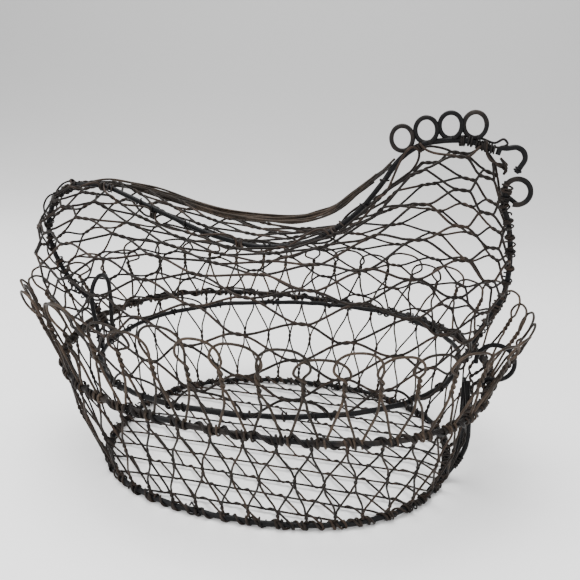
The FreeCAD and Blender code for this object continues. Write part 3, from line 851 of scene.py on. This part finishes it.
# wires drawn together along the far shoulder
w = Wires(18)
bundle_jitter = Jitter(707)
BUNDLE = 9
BUNDLE_LINE = [(-122, 18, 138.5), (-112, 27, 138.5), (-100, 34, 136.3), (-86, 40, 132),
               (-70, 44, 126.8), (-48, 46, 121.8), (-20, 46, 119.6), (-3, 45, 120.4), (10, 43, 123.8),
               (20, 40, 128.5), (30, 35, 136), (38, 31, 142.8), (46, 27, 149.8), (52, 21, 155.2),
               (58, 12, 161.6)]
for number in range(BUNDLE):
    across = number - (BUNDLE - 1) / 2
    path = []
    for k, (x, y, z) in enumerate(BUNDLE_LINE):
        reach = k / (len(BUNDLE_LINE) - 1)
        fan = 1.0 + 9.0 * abs(reach - 0.5) ** 3
        sway = 2.2 * math.sin(math.pi * (2.2 * reach + 0.37 * number))
        inner = (BUNDLE - 1) / 2 - across
        neck = max(0.0, reach - 0.58) / 0.42
        path.append((x, y + 0.9 * across * fan * (1 - neck) - 1.9 * inner * neck + 0.5 * sway
                     + 0.6 * bundle_jitter.get(number, k),
                     z + 0.1 * across * (1 - neck) + 0.5 * sway + 0.6 * bundle_jitter.get(number, k, 2)))
    first = number % 3
    last = len(path) - (number * 2) % 3
    w.add(smooth(path[first:last], 1.2), NET_R * 1.15)
w.piece("shoulder_wires", "lid", ["shoulder_bundle"], frill_mat)

# -------------------------------------------------------------- head and comb
COMB_WIRE_R, HEAD_WIRE_R = 1.12, 1.28
COMB_HALF_WIDTH, COMB_HALF_HEIGHT = 5.2, 5.9
WATTLE_X, WATTLE_Z, WATTLE_R = 117.9, 151.5, 6.0
w = Wires(20)
COMB = [(62.8, 174.1), (74.0, 178.4), (85.2, 180.9), (96.4, 181.5)]
for cx, cz in COMB:
    loop = []
    for k in range(40):
        turn = -math.pi / 2 + 0.25 + 2 * math.pi * 1.02 * k / 39
        loop.append([cx + COMB_HALF_WIDTH * math.cos(turn), 1.6 * (k / 39 - 0.5),
                     cz + COMB_HALF_HEIGHT * math.sin(turn)])
    w.add(smooth(loop, 1.0), COMB_WIRE_R, sides=14)
w.piece("comb", "lid", ["comb_loops"], frame_mat)

w = Wires(21)
w.add(smooth([(107.5, 0, 168.4), (108.6, 0, 171.2), (112, 0, 171.5), (116, 0, 172), (119, 0, 170.2),
              (120, 0, 167), (118.4, 0, 163.5), (116.5, 0, 160.4)], 0.8), HEAD_WIRE_R, sides=14)
w.add(smooth(helix((117.3, 0, 161.7), (0.55, 0, 0.83), (0, 1, 0), 1.55, 1.6, 1.9, 0.0, 12), 0.6), 0.55)
w.piece("beak", "lid", ["beak_wire"], frame_mat)

w = Wires(22)
loop = [[112.5, 1.0, 146.0]]
for k in range(44):
    turn = math.radians(200 - 305 * k / 43)
    loop.append([WATTLE_X + WATTLE_R * math.cos(turn), 0.6 - 1.2 * k / 43,
                 WATTLE_Z + WATTLE_R * math.sin(turn)])
w.add(smooth(loop, 0.8), HEAD_WIRE_R, sides=14)
w.add([(112.6, 1.2, 156.0), (112.4, 1.4, 152.0), (112.8, 1.5, 149.5), (115.6, 1.7, 147.2),
       (118.8, 1.8, 144.9)], 1.15, sides=12)
w.piece("wattle", "lid", ["wattle_ring"], frame_mat)


# ----------------------------------------------------------- outline lashings
def lash_line(wires, line, count, start, stop, turns, advance, seed, core, radius):
    """Short coils of binding wire along a line in the hen's middle plane."""
    jitter = Jitter(seed)
    for i in range(count):
        share = start + (stop - start) * (i + 0.5 + 0.3 * jitter.get(i, 1)) / count
        center, axis = line_point(line, share)
        around = core + radius * (1.05 + 0.4 * abs(jitter.get(i, 5)))
        coil = helix(center, axis, [0, 1, 0], around, turns * (1 + 0.35 * jitter.get(i, 2)),
                     advance * (1 + 0.3 * jitter.get(i, 3)), 3.14 * jitter.get(i, 4), 14)
        wires.add(smooth(coil, 0.6), radius, taper=0.2)


w = Wires(23)
lash_line(w, TAIL_LINE, 13, 0.05, 0.98, 1.6, 4.6, 601, FRAME_R + 0.45, BIND_R)
# net ends looped loosely outside the tail
for low, high, out in ((0.42, 0.55, 4.6), (0.53, 0.68, 5.2), (0.66, 0.80, 4.6), (0.80, 0.92, 2.4)):
    arc = []
    for k in range(9):
        share = low + (high - low) * k / 8
        center, axis = line_point(TAIL_LINE, share)
        away = np.array([-axis[2], 0.0, axis[0]])
        bulge = math.sin(math.pi * k / 8) ** 0.7
        arc.append(center + away * (1.4 + out * bulge) + np.array([0, 1.5 * bulge, 0]))
    w.add(smooth(arc, 0.8), NET_R)
w.piece("tail_binding", "lid", ["tail_lashing"], bind_mat)
w = Wires(24)
lash_line(w, BACK_LINE, 12, 0.02, 0.80, 1.1, 3.6, 602, FRAME_R, BIND_R)
w.piece("back_binding", "lid", ["back_lashing"], bind_mat)
w = Wires(25)
lash_line(w, BREAST_LINE, 12, 0.08, 0.98, 1.6, 4.6, 603, FRAME_R + 0.45, BIND_R)
w.piece("breast_binding", "lid", ["breast_lashing"], bind_mat)
w = Wires(26)
lash_line(w, BACK_LINE, 5, 0.93, 0.998, 2.2, 2.6, 604, FRAME_R, BIND_R * 1.1)
w.add(smooth([(84, 1.5, 175.3), (92, 1.6, 176.0), (100, 1.2, 175.2), (106, 0.8, 173.6), (110, 0.6, 175.4),
              (111.6, 0.0, 173.6), (108, -0.6, 171.8), (103, -0.9, 172.8)], 0.8), BIND_R * 1.3)
w.piece("crown_wrap", "lid", ["crown_binding"], bind_mat)
w = Wires(27)
lash_line(w, [(113.5, 155), (111.5, 145)], 4, 0.0, 1.0, 1.6, 2.0, 605, FRAME_R + 0.5, BIND_R * 1.1)
w.piece("wattle_wrap", "lid", ["wattle_binding"], bind_mat)
w = Wires(28)
lash_ring(w, hen_oval, hen_z, 26, 1.3, 4.0, 606, FRAME_R, BIND_R, skip=0.45)
w.piece("lid_ring_binding", "lid", ["lid_ring_lashing"], bind_mat)

# --------------------------------------------- finger loop, front ring, ties
LOOP_WIRE_R = 1.2
RIGHT_LEG = [(-94.6, -21.5, 56.8), (-96.0, -22.8, 70.0)]
LEFT_LEG = [(-97.0, -4.6, 68.0), (-96.6, -5.2, 56.6)]
FINGER_Y, FINGER_Z, FINGER_R = -14.2, 86, 9.8
w = Wires(29)
finger = list(RIGHT_LEG)
for i in range(9):
    turn = math.pi * i / 8
    finger.append((-97.0, FINGER_Y - FINGER_R * math.cos(turn), FINGER_Z + FINGER_R * math.sin(turn)))
finger += LEFT_LEG
w.add(smooth(finger, 1.0), LOOP_WIRE_R, sides=14)
w.piece("finger_hairpin", "lid", ["finger_loop"], frame_mat)
w = Wires(30)
for foot, top in (RIGHT_LEG, reversed(LEFT_LEG)):
    heading = np.subtract(top, foot)
    coil = helix(np.array(foot) + heading * 0.42, heading, (1, 0, 0), LOOP_WIRE_R + BIND_R, 2.2, 4.4, 0.0, 12)
    w.add(smooth(coil, 0.6), BIND_R)
w.piece("finger_hairpin_wrap", "lid", ["finger_loop_binding"], bind_mat)

EYE_R, HOOP_R = 3.015, 9.5
w = Wires(31)
eye_z = rim_z(RIM[0])
front = []
for i in range(17):
    turn = math.radians(70 - 335 * i / 16)
    front.append((RIM[0] + EYE_R * math.cos(turn), 0.9 * (i / 16 - 0.5), eye_z + EYE_R * math.sin(turn)))
for i in range(18):
    turn = math.radians(-102 + 290 * i / 17)
    front.append((RIM[0] + 2 + HOOP_R * math.cos(turn), 0, eye_z + EYE_R + HOOP_R + HOOP_R * math.sin(turn)))
w.add(smooth(front, 0.9), LOOP_WIRE_R, sides=14)
w.piece("front_loop", "front_ring", ["front_ring"], frame_mat)

UPRIGHT = [(95.9, -13.2, 4.3), (98.6, -11.4, 8.5), (103.2, -10.7, 17), (105.0, -10.7, 27),
           (104.6, -10.7, 36), (103.6, -9.5, 46), (102.2, -8.0, 56)]
w = Wires(32)
w.add(smooth(UPRIGHT, 1.4), FRAME_R, sides=14)
for dx, dy in ((-2.6, 2.0), (-4.2, -1.2), (-3.4, 4.2)):
    beside = [(x + dx * (0.4 + 0.6 * math.sin(z / 18)), y + dy, z) for x, y, z in UPRIGHT]
    w.add(smooth(beside, 1.4), NET_R * 1.3)
w.piece("front_post", "nest", ["front_upright"], frame_mat)
w = Wires(33)
heading = np.subtract(UPRIGHT[2], UPRIGHT[1])
coil = helix((100.2, -11.2, 11.6), heading, (1, 0, 0), FRAME_R + BIND_R, 4.0, 7.0, 0.0, 12)
w.add(smooth(coil, 0.6), BIND_R * 1.1)
w.piece("front_post_tie", "nest", ["front_upright_tie"], bind_mat)
w = Wires(34)
rear = (-RIM[0], 0, rim_z(-RIM[0]))
coil = helix(rear, (0, 1, 0), (0, 0, 1), FRAME_R + 0.95 + BIND_R, 4.5, 7.5, 0.0, 12)
w.add(smooth(coil, 0.6), BIND_R * 1.1)
w.piece("rear_tie", "nest", ["rear_frill_tie"], frill_mat)
# short cut ends of binding wire standing beside the floor ring
w = Wires(35)
for share, lean, height in ((0.47, 1.5, 3.6), (0.53, -1.2, 4.4), (0.71, 1.8, 3.2), (0.83, -1.0, 4.0)):
    p = ring_point(floor_oval, floor_z, share)
    nx, ny = floor_oval.outward(share)
    curl = []
    for out, sideways, up in ((-2.2, 0.0, 0.6), (-2.5, 0.35, 1.9), (-2.0, 0.8, 3.0),
                              (-1.0, 1.3, height), (0.1, 1.9, height + 0.3), (0.6, 2.4, height - 0.5)):
        curl.append(p + np.array([nx * out - ny * sideways * lean, ny * out + nx * sideways * lean, up]))
    w.add(smooth(curl, 0.6), BIND_R)
w.piece("floor_curls", "nest", ["floor_binding_curls"], bind_mat)

# --------------------------------------------------------- floor, light, view
verts = []
faces = []
ROOM_W, ROOM_FRONT, ROOM_BACK, ROOM_TOP, BEND = 6.0, -3.0, 1.1, 4.0, 0.6
profile = [(ROOM_FRONT, 0.0)]
for i in range(13):
    turn = math.pi / 2 * i / 12
    profile.append((ROOM_BACK - BEND + BEND * math.sin(turn), BEND - BEND * math.cos(turn)))
profile.append((ROOM_BACK, ROOM_TOP))
for y, z in profile:
    verts += [(-ROOM_W, y, z), (ROOM_W, y, z)]
for i in range(len(profile) - 1):
    faces.append((2 * i, 2 * i + 1, 2 * i + 3, 2 * i + 2))
mesh = bpy.data.meshes.new("paper_sweep")
mesh.from_pydata(verts, [], faces)
mesh.polygons.foreach_set("use_smooth", [True] * len(mesh.polygons))
sweep = bpy.data.objects.new("paper_sweep", mesh)
bpy.context.scene.collection.objects.link(sweep)
paper = bpy.data.materials.new("paper_with_painted_shade")
paper.use_nodes = True
shader = paper.node_tree.nodes["Principled BSDF"]
links = paper.node_tree.links
# painted shade: the paper's colour is ramped from 0.95 near the hen down to 0.335 at the back and up the
# wall, standing in for the light falling off
place = paper.node_tree.nodes.new("ShaderNodeTexCoord")
split = paper.node_tree.nodes.new("ShaderNodeSeparateXYZ")
painted_shade_ramp = paper.node_tree.nodes.new("ShaderNodeMapRange")
painted_shade_ramp.interpolation_type = "SMOOTHSTEP"
painted_shade_color = paper.node_tree.nodes.new("ShaderNodeCombineColor")
links.new(place.outputs["Object"], split.inputs["Vector"])
links.new(split.outputs["Y"], painted_shade_ramp.inputs["Value"])
painted_shade_ramp.inputs["From Min"].default_value = -0.10
painted_shade_ramp.inputs["From Max"].default_value = 0.95
painted_shade_ramp.inputs["To Min"].default_value = 0.95
painted_shade_ramp.inputs["To Max"].default_value = 0.335
for channel in ("Red", "Green", "Blue"):
    links.new(painted_shade_ramp.outputs[0], painted_shade_color.inputs[channel])
links.new(painted_shade_color.outputs[0], shader.inputs["Base Color"])
shader.inputs["Roughness"].default_value = 0.75
sweep.data.materials.append(paper)

world = bpy.data.worlds.new("soft_room") if bpy.context.scene.world is None else bpy.context.scene.world
bpy.context.scene.world = world
world.use_nodes = True
backdrop = world.node_tree.nodes["Background"]
backdrop.inputs["Color"].default_value = (1.0, 1.0, 1.0, 1.0)
backdrop.inputs["Strength"].default_value = 1.15


def area_light(name, place, target, size, power):
    data = bpy.data.lights.new(name, "AREA")
    data.shape = "DISK"
    data.size = size
    data.energy = power
    obj = bpy.data.objects.new(name, data)
    obj.location = place
    direction = Vector(target) - Vector(place)
    obj.rotation_euler = direction.to_track_quat("-Z", "Y").to_euler()
    bpy.context.scene.collection.objects.link(obj)


area_light("overhead", (-0.25, 0.25, 1.5), (0, 0, 0.05), 1.2, 37)
area_light("left_fill", (-1.2, -0.9, 0.9), (0, 0, 0.08), 0.9, 14)
area_light("right_fill", (1.1, -0.8, 0.7), (0, 0, 0.08), 0.8, 6.5)

CAMERA = (0.120304, -0.387659, 0.227121)
YAW, PITCH = -0.284, 0.339
camera_data = bpy.data.cameras.new("camera")
camera_data.sensor_width = 36.0
camera_data.lens = 50.0
camera_data.shift_y = 0.02497
camera_data.clip_start = 0.01
camera = bpy.data.objects.new("camera", camera_data)
camera.location = CAMERA
look = Vector((math.sin(YAW) * math.cos(PITCH), math.cos(YAW) * math.cos(PITCH), -math.sin(PITCH)))
camera.rotation_euler = look.to_track_quat("-Z", "Y").to_euler()
bpy.context.scene.collection.objects.link(camera)
bpy.context.scene.camera = camera
